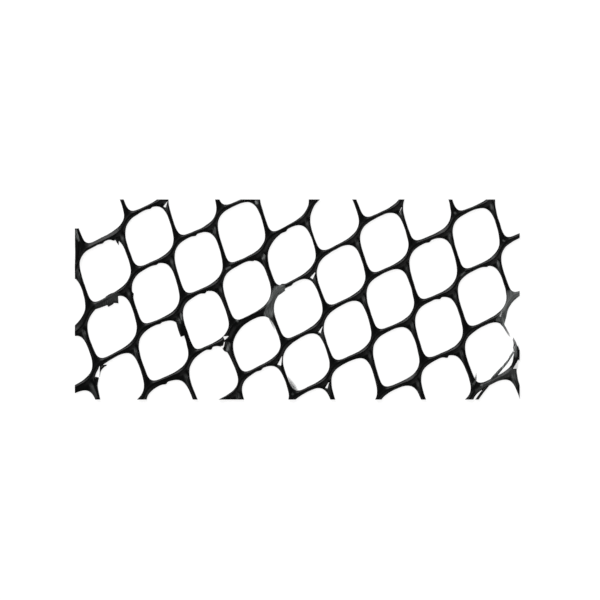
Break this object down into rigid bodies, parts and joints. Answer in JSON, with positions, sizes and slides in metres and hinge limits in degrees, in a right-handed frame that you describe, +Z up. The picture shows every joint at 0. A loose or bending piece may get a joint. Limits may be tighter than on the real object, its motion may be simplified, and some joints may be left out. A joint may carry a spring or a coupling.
{
  "type": "cut length of hexagonal plastic mesh",
  "caption": "Flat cut length of black extruded plastic mesh with rounded hexagonal holes, double bars between them, and a few torn and uneven strands.",
  "frame": {"origin": "under the middle of the cut length, on the surface that it lies on", "axes": "+X along the length, +Y across the width, +Z up from the surface"},
  "size_m": [0.1778, 0.08, 0.0016],
  "materials": {
    "plastic": "satin near-black plastic with fine draw lines along the strands, whitened where two forks were overstretched"
  },
  "bodies": {
    "root": {"net": "plastic"}
  },
  "joints": []
}
